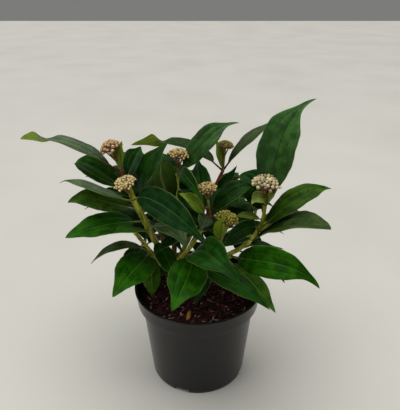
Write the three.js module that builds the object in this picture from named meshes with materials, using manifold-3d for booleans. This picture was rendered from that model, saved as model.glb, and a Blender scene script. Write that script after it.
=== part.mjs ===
// A david viburnum in bud, growing in a plain three-litre nursery pot.
// Millimetres. The origin is the centre of the pot's flat underside; +X is the viewer's right,
// +Y is away from the viewer and +Z is up. Angles are in degrees; a turn of 0 points along +X.
import * as THREE from 'three';
import { mergeVertices } from 'three/addons/utils/BufferGeometryUtils.js';
import Module from 'manifold-3d';

const wasm = await Module();
wasm.setup();

// Clearance between two pieces that touch on the real plant
const GAP = 0.3;

// Pot: a tapered body, a wider collar over its shoulder and a rolled lip
const POT = {
  height: 150, lipRadius: 95, lipDepth: 4, lipOverhang: 2, lipWidth: 3.5,
  collarFoot: 124, collarRadius: 91, shoulderRadius: 84.5, baseRadius: 72.5,
  wall: 2, floor: 6, edge: 1, sides: 48,
};
const NOTCH = { width: 22, height: 5, depth: 3, count: 4, turn: -110 };

// Soil: fills the pot to a little under the lip and falls away at the wall
const SOIL = { top: 136, edgeDrop: 3, edgeWidth: 5, wallGap: 0.45 };

// Crown: the woody stool that every stem leaves from; it leans back and to the left
const CROWN = {
  x: -26, y: 24, leanX: -16, leanY: 10, height: 40, radius: 20, shoulder: 16,
  flare: 7, flareHeight: 5, squash: 0.9, sides: 18, rings: 7,
};

// Stems: radii at the crown and at the top, and how deep a stem or a petiole is sunk
const STEM = { footRadius: 3.8, topRadius: 2.4, sides: 6, segments: 7, sink: 6, bareShare: 0.1 };

// Leaves: a petiole, then a blade folded along its midrib and drawn out to a tip
const LEAF = {
  petioleShare: 0.12, petioleRadius: 1.4, fold: 14, thickness: 1.1, thickShare: 0.01,
  bodySkew: 0.82, bodyPower: 0.75, tipFrom: 0.64, tipOver: 0.24,
  twistOver: 0.2, steps: 48, longFrom: 100, longStations: 8, shortStations: 6,
};

// What a leaf has unless its shoot says otherwise. share is its width over its length, and pinch
// the part of its width that it loses where it draws out to a tip
const USUAL = { share: 0.46, sag: 45, bend: 1.2, pinch: 0.42, roll: 0, swing: 0, twist: 0, flip: 0.6 };

// Pairs of opposite leaves that are not stated one by one: how they rise up the stem and vary
const PAIR = {
  risePerShare: 110, riseAtFoot: -64, topShare: 0.95, topLength: 0.84,
  turnSpread: 16, riseSpread: 12, lengthSpread: 0.16, rollSpread: 20,
};

// Flower heads: a lobed dome of buds over a cone of rays. Each ring is [height, radius] in widths,
// from the fork of the rays to the highest bud
const HEAD = {
  fork: -0.42, rings: [[-0.42, 0.06], [-0.2, 0.34], [-0.08, 0.48], [0.04, 0.47], [0.13, 0.3]], peak: 0.17,
  sides: 12, lobes: 6, lobeDepth: 0.07, stalkRadius: 2,
};

const LOOKS = {
  pot: { color: 0x22262a, roughness: 0.55 },
  soil: { color: 0x2b1a14, roughness: 0.95 },
  crown: { color: 0x6b5a3a, roughness: 0.85 },
  stem: { color: 0x76803a, roughness: 0.6 },
  foliage: { color: 0x1f4d24, roughness: 0.45 },
};

// Shoots. foot: turn and height on the crown. top: the node below the flower head, or the end.
// head: from the top to the middle of the buds, and their width; tall stretches the dome. leaves:
// at, the share of the stem where a leaf sits, then where it points. sag bends it down, more of it
// near the tip with a high bend; roll tips it sideways, swing curves it, and twist turns its end
// over from flip on. pairs: opposite leaves grown by the rule from a seed; keep names the sides
// that have room.
const SHOOTS = [
  {
    name: 'high_left', foot: [165, 28], top: [-113, 55, 310],
    head: { offset: [-14, 6, 35], width: 38, tall: 1.5 },
    leaves: [
      {
        at: 0.98, turn: 172, rise: 32, length: 178, share: 0.36, sag: 48, bend: 1.1,
        pinch: 0.3, roll: 12, swing: -20, twist: 39, flip: 0.61,
      },
      {
        at: 0.78, turn: 163, rise: 27, length: 129, share: 0.33, sag: 68, bend: 2.3,
        pinch: 0.15, roll: -32, swing: -38,
      },
      { at: 0.9, turn: 78, rise: 26, length: 84, share: 0.48, sag: 20, roll: 29, swing: 3 },
      { at: 0.56, turn: 9, rise: 87, length: 121, share: 0.54, sag: 61, bend: 1.3, roll: -1, swing: 40 },
      { at: 1, turn: 5, rise: 92, length: 46, share: 0.52, sag: 21, bend: 1.3, roll: 41, swing: 10 },
      { at: 0.7, turn: -180, rise: 30, length: 60 },
      { at: 0.85, turn: 120, rise: 30, length: 60 },
    ],
    pairs: {
      length: 84,
      nodes: [
        { at: 0.5, turn: 150, seed: 79, keep: [1] },
      ],
    },
  },
  {
    name: 'mid_left', foot: [212, 28], top: [-91, -5, 294],
    head: { offset: [-7, -7, 27], width: 33 },
    leaves: [
      {
        at: 0.95, turn: -176, rise: 20, length: 117, share: 0.2, sag: 59, bend: 3.5,
        roll: -2, swing: -40,
      },
      {
        at: 0.97, turn: -55, rise: 32, length: 154, share: 0.28, sag: 77, bend: 0.8,
        roll: 60, swing: 26,
      },
      {
        at: 0.84, turn: -177, rise: 19, length: 101, share: 0.41, sag: 56, bend: 2.9,
        pinch: 0.2, roll: -34, swing: -8,
      },
      { at: 0.68, turn: -159, rise: 9, length: 111, sag: 23, bend: 1, pinch: 0.12, roll: -19, swing: 4 },
      {
        at: 0.56, turn: -105, rise: 27, length: 110, share: 0.31, sag: 6, bend: 1.8,
        roll: -6, swing: -10,
      },
      { at: 0.6, turn: -35, rise: 25, length: 90, share: 0.62, sag: 82, bend: 1.8, roll: -2, swing: -25 },
    ],
    pairs: {
      length: 74,
      nodes: [
        { at: 0.42, turn: 120, seed: 35, keep: [1] },
      ],
    },
  },
  {
    name: 'top_middle', foot: [84, 33.5], top: [-30, 60, 303],
    head: { offset: [2, 2, 32], width: 37 },
    leaves: [
      {
        at: 0.99, turn: -7, rise: 54, length: 124, share: 0.34, sag: 59, bend: 3.3,
        pinch: 0.68, roll: 48, swing: 10,
      },
      {
        at: 0.62, turn: -110, rise: 48, length: 165, share: 0.33, sag: 5, bend: 1.3,
        roll: 41, swing: 34,
      },
      {
        at: 0.98, turn: -75, rise: 36, length: 111, share: 0.21, sag: 71, bend: 0.8,
        roll: 58, swing: 14,
      },
      { at: 0.85, turn: -60, rise: -5, length: 84 },
    ],
    pairs: {
      length: 80,
      nodes: [
        { at: 0.82, turn: 93, seed: 37, keep: [0] },
        { at: 0.5, turn: 178, seed: 82, keep: [1] },
      ],
    },
  },
  {
    name: 'centre', foot: [-28, 33.5], top: [16, 0, 270], bow: [6, -4, -8],
    head: { offset: [-4, -4, 40], width: 32 },
    leaves: [
      {
        at: 0.96, turn: 110, rise: 42, length: 98, share: 0.41, sag: 21, bend: 1.3,
        roll: -28, swing: -21,
      },
      {
        at: 0.92, turn: -169, rise: 55, length: 58, share: 0.58, sag: 23, bend: 1.3,
        roll: -29, swing: 6,
      },
      { at: 0.97, turn: 5, rise: 47, length: 86, share: 0.44, sag: 98, bend: 2.7, roll: 22, swing: 10 },
      {
        at: 0.95, turn: -101, rise: 15, length: 44, share: 0.6, sag: 46, bend: 1.4,
        roll: -31, swing: -7,
      },
    ],
    pairs: {
      length: 74,
      nodes: [
        { at: 0.66, turn: 29, seed: 68, keep: [0, 1] },
      ],
    },
  },
  {
    name: 'back_right', foot: [38, 31.5], top: [38, 85, 298],
    head: { offset: [3, 4, 41], width: 30, tall: 1.3 },
    leaves: [
      {
        at: 1, turn: 16, rise: 54, length: 120, share: 0.29, sag: 47, bend: 1,
        pinch: 0.5, roll: -7, swing: 34,
      },
      {
        at: 1, turn: 140, rise: 27, length: 177, share: 0.31, bend: 0.8, roll: 6,
        swing: 28, twist: 60, flip: 0.57,
      },
      { at: 0.68, turn: 6, rise: 45, length: 69, share: 0.29, sag: 0, roll: 36, swing: 40 },
      { at: 1, turn: -151, rise: 77, length: 53, share: 0.45, sag: 0, roll: -51, swing: -24 },
      { at: 0.85, turn: -90, rise: -5, length: 84 },
    ],
    pairs: {
      length: 84,
      nodes: [
        { at: 0.5, turn: 120, seed: 75, keep: [0] },
      ],
    },
  },
  {
    name: 'right', foot: [2, 27], top: [95, 12, 274], bow: [63, -6, -32],
    head: { offset: [0, -4, 40], width: 45 },
    leaves: [
      {
        at: 1, turn: 16, rise: 81, length: 170, share: 0.4, sag: 67, bend: 3.4,
        pinch: 0.68, roll: 37, swing: -10,
      },
      { at: 0.74, turn: 4, rise: 45, length: 136, share: 0.33, sag: 72, bend: 1.9, roll: 16, swing: 28 },
      {
        at: 0.58, turn: -27, rise: 42, length: 142, share: 0.58, sag: 36, bend: 1.1,
        pinch: 0.15, roll: 2, swing: -25,
      },
      {
        at: 0.9, turn: 125, rise: 68, length: 87, share: 0.58, sag: 113, bend: 1.8,
        roll: -31, swing: -2,
      },
      {
        at: 0.86, turn: -180, rise: 20, length: 43, share: 0.36, sag: 51, bend: 1.9,
        roll: -28, swing: -7,
      },
      {
        at: 0.99, turn: -161, rise: 88, length: 37, share: 0.72, sag: 150, bend: 1,
        roll: -31, swing: 19,
      },
      { at: 0.99, turn: 6, rise: 69, length: 42, share: 0.54, sag: 34, bend: 1.9, roll: 12, swing: 2 },
      {
        at: 0.76, turn: -138, rise: 34, length: 79, share: 0.34, sag: 74, bend: 0.8,
        roll: -60, swing: -1,
      },
      { at: 0.66, turn: 5, rise: 45, length: 80, share: 0.26, sag: 25, bend: 1.4, roll: 4, swing: -3 },
      {
        at: 0.66, turn: 145, rise: -13, length: 28, share: 0.47, sag: 32, bend: 0.8,
        roll: -16, swing: -6,
      },
      { at: 0.7, turn: 30, rise: 30, length: 84 },
      { at: 0.4, turn: 60, rise: -5, length: 84 },
    ],
    pairs: {
      length: 84,
      nodes: [
        { at: 0.44, turn: 160, seed: 71, keep: [1] },
      ],
    },
  },
  {
    name: 'front_right', foot: [-58, 27], top: [31, -34, 240],
    head: { offset: [8, -4, 42], width: 35 },
    leaves: [
      { at: 1, turn: -90, rise: 70, length: 64, share: 0.41, sag: 12, bend: 1.4, roll: 17, swing: 10 },
    ],
    pairs: {
      length: 72,
      nodes: [
        { at: 0.75, turn: 200, seed: 44, keep: [1] },
      ],
    },
  },
  {
    name: 'low_left', foot: [232, 15], top: [-74, 8, 203],
    leaves: [
      { at: 0.98, turn: -175, rise: 27, length: 95, share: 0.35, sag: 78, bend: 0.8, roll: 4, swing: 4 },
      {
        at: 0.92, turn: -100, rise: 12, length: 120, share: 0.47, sag: 36, bend: 1.8,
        pinch: 0.3, roll: -19, swing: -19,
      },
      { at: 0.9, turn: -83, rise: -12, length: 76, share: 0.39, sag: 99, roll: 2, swing: -1 },
    ],
    pairs: {
      length: 76,
      nodes: [
        { at: 0.6, turn: 160, seed: 11, keep: [0] },
      ],
    },
  },
  {
    name: 'low_front', foot: [262, 8], top: [-5, -30, 223], bow: [0, -6, -8],
    leaves: [
      {
        at: 0.98, turn: -94, rise: -2, length: 109, share: 0.53, sag: 27, bend: 1.7,
        pinch: 0.38, roll: -11, swing: -24,
      },
      {
        at: 0.95, turn: -83, rise: 40, length: 146, share: 0.35, sag: 74, bend: 1.5,
        roll: 35, swing: 40,
      },
      { at: 0.8, turn: -40, rise: -1, length: 134, share: 0.3, sag: 28, bend: 1.5, roll: 10, swing: 7 },
    ],
    pairs: {
      length: 70,
      nodes: [
        { at: 0.55, turn: 0, seed: 73, keep: [1] },
      ],
    },
  },
  {
    name: 'low_right', foot: [-32, 13], top: [49, -12, 206],
    leaves: [
      {
        at: 0.98, turn: -60, rise: 22, length: 157, share: 0.31, sag: 78, bend: 2.9,
        pinch: 0.5, roll: 60, swing: 40,
      },
      {
        at: 0.88, turn: -38, rise: -25, length: 104, share: 0.39, sag: 24, pinch: 0.3,
        roll: 4, swing: 4,
      },
      { at: 0.55, turn: 120, rise: 30, length: 60 },
    ],
    pairs: {
      length: 76,
      nodes: [
        { at: 0.5, turn: 70, seed: 62, keep: [1] },
      ],
    },
  },
  {
    name: 'rear_left', foot: [128, 27], top: [-88, 112, 262],
    leaves: [
      { at: 0.7, turn: 150, rise: 30, length: 84 },
    ],
    pairs: {
      length: 108,
      nodes: [
        { at: 1.0, turn: 140, seed: 99, keep: [0, 1] },
        { at: 0.84, turn: 170, seed: 16, keep: [0, 1] },
        { at: 0.72, turn: 0, seed: 85, keep: [0, 1] },
      ],
    },
  },
  {
    name: 'rear_middle', foot: [106, 22], top: [-32, 128, 252],
    leaves: [
      { at: 0.55, turn: -30, rise: -5, length: 60 },
    ],
    pairs: {
      length: 104,
      nodes: [
        { at: 1.0, turn: 130, seed: 27, keep: [0, 1] },
        { at: 0.84, turn: 120, seed: 60, keep: [0] },
        { at: 0.66, turn: 160, seed: 64, keep: [0] },
      ],
    },
  },
  {
    name: 'rear_right', foot: [60, 22], top: [42, 132, 250],
    leaves: [
      { at: 0.7, turn: -90, rise: -5, length: 84 },
      { at: 0.85, turn: 60, rise: 30, length: 84 },
    ],
    pairs: {
      length: 108,
      nodes: [
        { at: 1.0, turn: 120, seed: 5, keep: [1] },
        { at: 0.84, turn: 140, seed: 5, keep: [0, 1] },
        { at: 0.68, turn: 140, seed: 82, keep: [0, 1] },
      ],
    },
  },
  {
    name: 'far_right', foot: [20, 21], top: [92, 84, 226],
    leaves: [
      { at: 0.56, turn: -31, rise: -1, length: 95, share: 0.4, sag: 0, roll: -15, swing: 21 },
      { at: 0.7, turn: 60, rise: 30, length: 84 },
      { at: 0.7, turn: -30, rise: -5, length: 60 },
    ],
    pairs: {
      length: 102,
      nodes: [
        { at: 1.0, turn: 70, seed: 7, keep: [0, 1] },
        { at: 0.82, turn: 110, seed: 12, keep: [0] },
        { at: 0.62, turn: 20, seed: 17, keep: [0] },
      ],
    },
  },
  {
    name: 'far_left', foot: [186, 15], top: [-112, 66, 218],
    leaves: [
      { at: 0.7, turn: 120, rise: 30, length: 84 },
      { at: 0.55, turn: 90, rise: 30, length: 84 },
      { at: 0.55, turn: 60, rise: -5, length: 84 },
    ],
    pairs: {
      length: 98,
      nodes: [
        { at: 1.0, turn: 60, seed: 41, keep: [1] },
        { at: 0.8, turn: 10, seed: 10, keep: [1] },
        { at: 0.6, turn: 90, seed: 79, keep: [0, 1] },
        { at: 0.78, turn: 120, seed: 3, keep: [0] },
      ],
    },
  },
];

// Corners closer than this are one
const WELD = 1e-4;

// Seeded draws: each number is the last one times a factor plus a step, within a range
const DRAW = { factor: 1664525, step: 1013904223, range: 2 ** 32 };

const rad = THREE.MathUtils.degToRad;
const vec = (x, y, z) => new THREE.Vector3(x, y, z);
const along = (from, direction, distance) => from.clone().addScaledVector(direction, distance);

// Solids

// A closed triangle mesh as a solid, its faces turned outwards
function solidOf(geometry) {
  geometry.deleteAttribute('normal');
  geometry.deleteAttribute('uv');
  const merged = mergeVertices(geometry, WELD);
  const index = Array.from(merged.index.array);
  const at = merged.attributes.position;
  const corner = (i) => vec(at.getX(i), at.getY(i), at.getZ(i));
  const triangles = [];
  let volume = 0;
  for (let i = 0; i < index.length; i += 3) {
    const [a, b, c] = index.slice(i, i + 3);
    if (a === b || b === c || c === a) continue;
    triangles.push(a, b, c);
    volume += corner(a).dot(corner(b).cross(corner(c)));
  }
  if (volume < 0) triangles.reverse();
  return new wasm.Manifold(new wasm.Mesh({
    numProp: 3, vertProperties: new Float32Array(at.array), triVerts: new Uint32Array(triangles),
  }));
}

// Its one outer body, without scraps or sealed hollows, as a mesh
function meshOf(solid, name, look) {
  const bodies = solid.decompose().sort((a, b) => b.volume() - a.volume());
  const { vertProperties, triVerts } = bodies[0].getMesh();
  const geometry = new THREE.BufferGeometry();
  geometry.setAttribute('position', new THREE.BufferAttribute(Float32Array.from(vertProperties), 3));
  geometry.setIndex(new THREE.BufferAttribute(Uint32Array.from(triVerts), 1));
  geometry.computeVertexNormals();
  const mesh = new THREE.Mesh(geometry, new THREE.MeshStandardMaterial({ ...look, metalness: 0 }));
  mesh.name = name;
  return mesh;
}

// A skin over rings of equally many points; the ends are closed flat, or run to a tip
function loft(rings, tip = null) {
  const sides = rings[0].length;
  const points = rings.flat();
  const index = [];
  for (let ring = 0; ring + 1 < rings.length; ring += 1) {
    for (let side = 0; side < sides; side += 1) {
      const a = ring * sides + side;
      const b = ring * sides + ((side + 1) % sides);
      index.push(a, b, b + sides, a, b + sides, a + sides);
    }
  }
  for (let side = 1; side + 1 < sides; side += 1) index.push(0, side + 1, side);
  const last = (rings.length - 1) * sides;
  if (tip) {
    points.push(tip);
    for (let side = 0; side < sides; side += 1) {
      index.push(last + side, last + ((side + 1) % sides), points.length - 1);
    }
  } else {
    for (let side = 1; side + 1 < sides; side += 1) index.push(last, last + side, last + side + 1);
  }
  const geometry = new THREE.BufferGeometry().setFromPoints(points);
  geometry.setIndex(index);
  return solidOf(geometry);
}

// A circle of points round a direction, measured from a direction no stem runs along
const ACROSS = vec(0, 1, 0.01);

function circle(centre, direction, radius, sides) {
  const side = ACROSS.clone().cross(direction).normalize();
  const up = direction.clone().cross(side).normalize();
  return Array.from({ length: sides }, (_, i) => {
    const angle = (2 * Math.PI * i) / sides;
    return along(along(centre, side, radius * Math.cos(angle)), up, radius * Math.sin(angle));
  });
}

function turned(profile, sides) {
  const points = profile.map(([radius, height]) => new THREE.Vector2(radius, height));
  return solidOf(new THREE.LatheGeometry(points, sides).rotateX(Math.PI / 2));
}

// Pot and soil

const innerProfile = [
  [POT.baseRadius - POT.wall, POT.floor],
  [POT.shoulderRadius - POT.wall, POT.collarFoot - POT.wall],
  [POT.collarRadius - POT.wall, POT.collarFoot + POT.wall],
  [POT.lipRadius - POT.lipWidth, POT.height],
];

function potSolid() {
  const { height, lipRadius, lipDepth, lipOverhang, edge } = POT;
  let pot = turned([
    [0, 0], [POT.baseRadius - edge, 0], [POT.baseRadius, edge],
    [POT.shoulderRadius, POT.collarFoot], [POT.collarRadius, POT.collarFoot],
    [lipRadius - lipOverhang, height - lipDepth], [lipRadius, height - lipDepth + edge],
    [lipRadius, height - edge], [lipRadius - edge, height],
    ...innerProfile.toReversed(), [0, POT.floor],
  ], POT.sides);
  for (let i = 0; i < NOTCH.count; i += 1) {
    const block = new THREE.BoxGeometry(NOTCH.depth * 2, NOTCH.width, NOTCH.height * 2);
    block.translate(POT.baseRadius, 0, 0);
    block.rotateZ(rad(NOTCH.turn + (360 * i) / NOTCH.count));
    pot = pot.subtract(solidOf(block));
  }
  return pot;
}

// Radius of the pot's inside at a height
function insideRadius(height) {
  for (let i = 0; i + 1 < innerProfile.length; i += 1) {
    const [r0, h0] = innerProfile[i];
    const [r1, h1] = innerProfile[i + 1];
    if (height <= h1) return r0 + ((r1 - r0) * (height - h0)) / (h1 - h0);
  }
  return innerProfile.at(-1)[0];
}

function soilSolid() {
  const edge = SOIL.top - SOIL.edgeDrop;
  const heights = [POT.floor + GAP, ...innerProfile.slice(1, 3).map(([, h]) => h), edge];
  const wall = heights.map((h) => [insideRadius(h) - SOIL.wallGap, h]);
  const flat = insideRadius(edge) - SOIL.edgeWidth;
  return turned([[0, heights[0]], ...wall, [flat, SOIL.top], [0, SOIL.top]], POT.sides);
}

// Crown and stems

const crownFoot = SOIL.top + GAP;

function crownRadius(height) {
  const over = Math.max(0, height - CROWN.shoulder) / (CROWN.height - CROWN.shoulder);
  const flare = CROWN.flare * Math.exp(-height / CROWN.flareHeight);
  return CROWN.radius * Math.sqrt(Math.max(0, 1 - over * over)) + flare;
}

// The crown grown by a margin all round, leaning as it rises
function crownSolid(margin) {
  const profile = [[0, -margin]];
  for (let i = 0; i < CROWN.rings; i += 1) {
    const height = CROWN.height * Math.sin((Math.PI / 2) * (i / CROWN.rings));
    profile.push([crownRadius(height) + margin, height + (i ? margin : -margin)]);
  }
  profile.push([0, CROWN.height + margin]);
  const shape = turned(profile, CROWN.sides);
  return shape.warp((p) => {
    const share = p[2] / CROWN.height;
    p[0] += CROWN.x + CROWN.leanX * share;
    p[1] = p[1] * CROWN.squash + CROWN.y + CROWN.leanY * share;
    p[2] += crownFoot;
  });
}

// Where a stem starts, a little inside the crown
function stemFoot([turn, height]) {
  const radius = crownRadius(height) - STEM.sink;
  const share = height / CROWN.height;
  return vec(
    CROWN.x + CROWN.leanX * share + radius * Math.cos(rad(turn)),
    CROWN.y + CROWN.leanY * share + radius * Math.sin(rad(turn)) * CROWN.squash,
    crownFoot + height,
  );
}

function stemCurve(shoot) {
  const foot = stemFoot(shoot.foot);
  const top = vec(...shoot.top);
  const middle = foot.clone().add(top).multiplyScalar(0.5).add(vec(...(shoot.bow ?? [0, 0, 0])));
  return new THREE.QuadraticBezierCurve3(foot, middle, top);
}

// The stem between two shares of its curve
function stemSolid(curve, from, to) {
  const rings = [];
  const count = Math.max(2, Math.round(STEM.segments * (to - from)));
  for (let i = 0; i <= count; i += 1) {
    const s = from + ((to - from) * i) / count;
    const radius = THREE.MathUtils.lerp(STEM.footRadius, STEM.topRadius, s);
    rings.push(circle(curve.getPoint(s), curve.getTangent(s), radius, STEM.sides));
  }
  return loft(rings);
}

// Leaves

function halfWidth(t, pinch) {
  const body = Math.sin(Math.PI * t ** LEAF.bodySkew) ** LEAF.bodyPower;
  return body * (1 - pinch * THREE.MathUtils.smoothstep(t, LEAF.tipFrom, LEAF.tipFrom + LEAF.tipOver));
}

// Forward, side and upper directions of a leaf at a share of its blade
function leafFrame(leaf, t) {
  const rise = rad(leaf.rise - leaf.sag * t ** leaf.bend);
  const turn = rad(leaf.turn + leaf.swing * t);
  const forward = vec(Math.cos(turn) * Math.cos(rise), Math.sin(turn) * Math.cos(rise), Math.sin(rise));
  const level = vec(-Math.sin(turn), Math.cos(turn), 0);
  const upper = forward.clone().cross(level);
  const over = THREE.MathUtils.smoothstep(t, leaf.flip, leaf.flip + LEAF.twistOver);
  const roll = rad(leaf.roll + leaf.twist * over);
  const side = level.clone().multiplyScalar(Math.cos(roll)).addScaledVector(upper, Math.sin(roll));
  return { forward, side, up: upper.multiplyScalar(Math.cos(roll)).addScaledVector(level, -Math.sin(roll)) };
}

function leafSolid(base, leaf) {
  const petiole = leaf.length * LEAF.petioleShare;
  const blade = leaf.length - petiole;
  const half = (blade * leaf.share) / 2;
  const thick = Math.max(LEAF.thickness, leaf.length * LEAF.thickShare) / 2;
  const stations = leaf.length > LEAF.longFrom ? LEAF.longStations : LEAF.shortStations;
  const place = (point, { side, up }, out, height) => along(along(point, side, out), up, height);

  // Petiole: six sides that line up with the blade's upper and lower faces
  const start = leafFrame(leaf, 0);
  const stalk = (point) => [150, 90, 30, -30, -90, -150].map((angle) => place(
    point, start, -LEAF.petioleRadius * Math.cos(rad(angle)), LEAF.petioleRadius * Math.sin(rad(angle)),
  ));
  let point = along(base, start.forward, petiole);
  const rings = [stalk(base), stalk(point)];
  for (let step = 1; step <= LEAF.steps; step += 1) {
    const { forward } = leafFrame(leaf, (step - 0.5) / LEAF.steps);
    point = along(point, forward, blade / LEAF.steps);
    if (step % (LEAF.steps / stations) || step === LEAF.steps) continue;
    const t = step / LEAF.steps;
    const frame = leafFrame(leaf, t);
    const width = half * halfWidth(t, leaf.pinch);
    const out = width * Math.cos(rad(LEAF.fold));
    const lift = width * Math.sin(rad(LEAF.fold));
    rings.push([
      place(point, frame, out, lift + thick), place(point, frame, 0, thick),
      place(point, frame, -out, lift + thick), place(point, frame, -out, lift - thick),
      place(point, frame, 0, -thick), place(point, frame, out, lift - thick),
    ]);
  }
  return loft(rings, point);
}

// Numbers from 0 to 1 that a seed fixes
function* seeded(seed) {
  for (let state = seed; ;) {
    state = (state * DRAW.factor + DRAW.step) % DRAW.range;
    yield state / DRAW.range;
  }
}

// The leaves of one opposite pair, on the sides that have room
function pairLeaves({ at, turn, seed, keep }, length) {
  const draws = seeded(seed);
  const vary = (spread) => (draws.next().value - 0.5) * spread;
  const leaves = [0, 1].map((side) => ({
    at,
    turn: turn + 180 * side + vary(PAIR.turnSpread),
    rise: PAIR.risePerShare * at + PAIR.riseAtFoot + vary(PAIR.riseSpread),
    length: length * (at > PAIR.topShare ? PAIR.topLength : 1) * (1 + vary(PAIR.lengthSpread)),
    roll: vary(PAIR.rollSpread),
  }));
  return keep.map((side) => leaves[side]);
}

// Flower head

function headSolid(top, { offset, width, tall = 1 }) {
  const axis = vec(...offset).normalize();
  const middle = top.clone().add(vec(...offset));
  const rings = [circle(along(top, axis, -STEM.topRadius), axis, HEAD.stalkRadius, HEAD.sides)];
  for (const [height, radius] of HEAD.rings) {
    const centre = along(middle, axis, Math.max(HEAD.fork, height * tall) * width);
    rings.push(circle(centre, axis, radius * width, HEAD.sides).map((point, i) => {
      const lobe = 1 + HEAD.lobeDepth * Math.cos((2 * Math.PI * HEAD.lobes * i) / HEAD.sides);
      return centre.clone().lerp(point, lobe);
    }));
  }
  return loft(rings, along(middle, axis, HEAD.peak * tall * width));
}

// The whole plant

const group = new THREE.Group();
group.name = 'potted_viburnum';

const container = new THREE.Group();
container.name = 'container';
container.add(
  meshOf(potSolid(), 'pot', LOOKS.pot),
  meshOf(soilSolid(), 'soil', LOOKS.soil),
);

const plant = new THREE.Group();
plant.name = 'plant';
plant.add(meshOf(crownSolid(0), 'crown', LOOKS.crown));
const crownRoom = crownSolid(GAP);

for (const shoot of SHOOTS) {
  const grown = shoot.pairs.nodes.flatMap((node) => pairLeaves(node, shoot.pairs.length));
  const leaves = [...shoot.leaves, ...grown].map((leaf) => ({ ...USUAL, ...leaf }));
  const curve = stemCurve(shoot);

  // The bare stem ends just below the lowest leaf, and the leafy stem starts 0.3 mm above it
  const enter = Math.min(...leaves.map((leaf) => leaf.at)) - STEM.bareShare;
  const bare = stemSolid(curve, 0, enter).subtract(crownRoom);
  plant.add(meshOf(bare, `stem_${shoot.name}`, LOOKS.stem));

  const parts = [stemSolid(curve, enter + GAP / curve.getLength(), 1)];
  for (const leaf of leaves) parts.push(leafSolid(curve.getPoint(leaf.at), leaf));
  if (shoot.head) parts.push(headSolid(curve.getPoint(1), shoot.head));
  plant.add(meshOf(wasm.Manifold.union(parts), `foliage_${shoot.name}`, LOOKS.foliage));
}

group.add(container, plant);
export default group;
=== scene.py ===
# A david viburnum in bud, growing in a plain three-litre nursery pot, in a plain studio.
# Blender works in metres. The named sizes below are in millimetres and degrees, as in the solid
# model: the origin is the centre of the pot's underside, +X is the viewer's right, +Z is up.
from math import atan2, cos, hypot, pi, radians, sin, sqrt
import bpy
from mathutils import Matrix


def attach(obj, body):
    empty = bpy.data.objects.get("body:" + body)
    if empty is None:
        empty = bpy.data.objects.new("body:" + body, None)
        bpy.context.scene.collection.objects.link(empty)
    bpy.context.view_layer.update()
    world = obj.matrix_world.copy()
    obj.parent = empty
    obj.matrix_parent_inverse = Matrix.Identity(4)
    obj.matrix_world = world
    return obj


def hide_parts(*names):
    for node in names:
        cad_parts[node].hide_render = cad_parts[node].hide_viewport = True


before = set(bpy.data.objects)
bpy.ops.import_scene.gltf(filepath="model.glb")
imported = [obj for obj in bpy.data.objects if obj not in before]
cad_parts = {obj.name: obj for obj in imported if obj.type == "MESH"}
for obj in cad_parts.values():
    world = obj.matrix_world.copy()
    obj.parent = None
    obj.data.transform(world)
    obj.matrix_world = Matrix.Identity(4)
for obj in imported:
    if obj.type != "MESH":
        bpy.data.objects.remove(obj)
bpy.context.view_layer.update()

from types import SimpleNamespace as Values

import bpy
import numpy as np

MM = 0.001
MM_PER_CM = 10
TURN = 2 * pi
SEED = 20
# Rings round a line start from this direction, which no line runs along
ASIDE = (0, 1, 0.01)

# Camera: where it stands, how far it looks down, and its focal length and frame in pixels
CAMERA = Values(place=(3, -600, 573), pitch=25.94, focal=480, frame=410, sensor=36)

# Light and floor, in metres: two round panels aimed at the plant, and a soft sun
PANELS = dict(left=((-1.7, -1.1, 1.6), 7), right=((1.8, -0.7, 1.4), 7.5))
PANEL = Values(size=1.2, aim=(0, 0, 0.2))
SUN = Values(power=2.55, spread=75, tilt=(-14, -10))
ROOM = Values(colour=(1, 1, 0.985, 1), strength=0.2)
FLOOR = Values(size=12, colours=[(200, 197, 188), (204, 202, 193)], roughness=0.6, grain=3)

# Pot: its sizes, how far its corners are rounded, and the heights of the rows up its wall, which
# stand close together just above the notches so that the wall stays evenly shaded. The notches
# are a little deeper and higher than in the solid model: the photo shows the floor through one.
POT = Values(
    height=150, lip_radius=95, lip_depth=4, lip_overhang=2, lip_width=3.5,
    collar_foot=124, collar_radius=91, shoulder_radius=84.5, base_radius=72.5,
    wall=2, floor=6, edge=1, centre=1, sides=360,
)
ROUNDING = Values(foot=0.6, collar=1.8, lip=0.9)
POT_ROWS = Values(above_notch=[-0.05, 0.05, 0.5, 1, 3], wall=[20, 50, 80, 110], collar_corner=6)
NOTCH = Values(width=22, height=5.8, depth=5, count=4, turn=-110)

# Soil: its surface, the waves that make its lumps, as lengths and heights, and its loose bark.
# A chip's shape is its radii along it, as shares of its width.
SOIL = Values(
    top=136, edge_drop=3, edge_width=5, wall_gap=0.45,
    centre=0.6, rings=76, edge_rings=6, sides=230,
)
LUMPS = Values(sizes=[(26, 0.225), (9, 0.175), (3.5, 0.1125)], waves=14)
CHIPS = Values(
    count=1700, kinds={"red": 8, "brown": 5, "black": 6, "pale": 2}, long_every=3,
    short=(2, 6), long=(6, 15), width=(0.9, 1.6), width_per_length=0.11, margin=1,
    lift=(-0.2, 1.1), tilt=0.12, bend=0.08,
    places=(-0.5, -0.2, 0.2, 0.5), shape=(0.25, 0.5, 0.45, 0.2), sides=5,
)
LARGE_CHIP = dict(x=-13, y=-59, turn=1.4, length=19, width=7, slot="orange")

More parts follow.
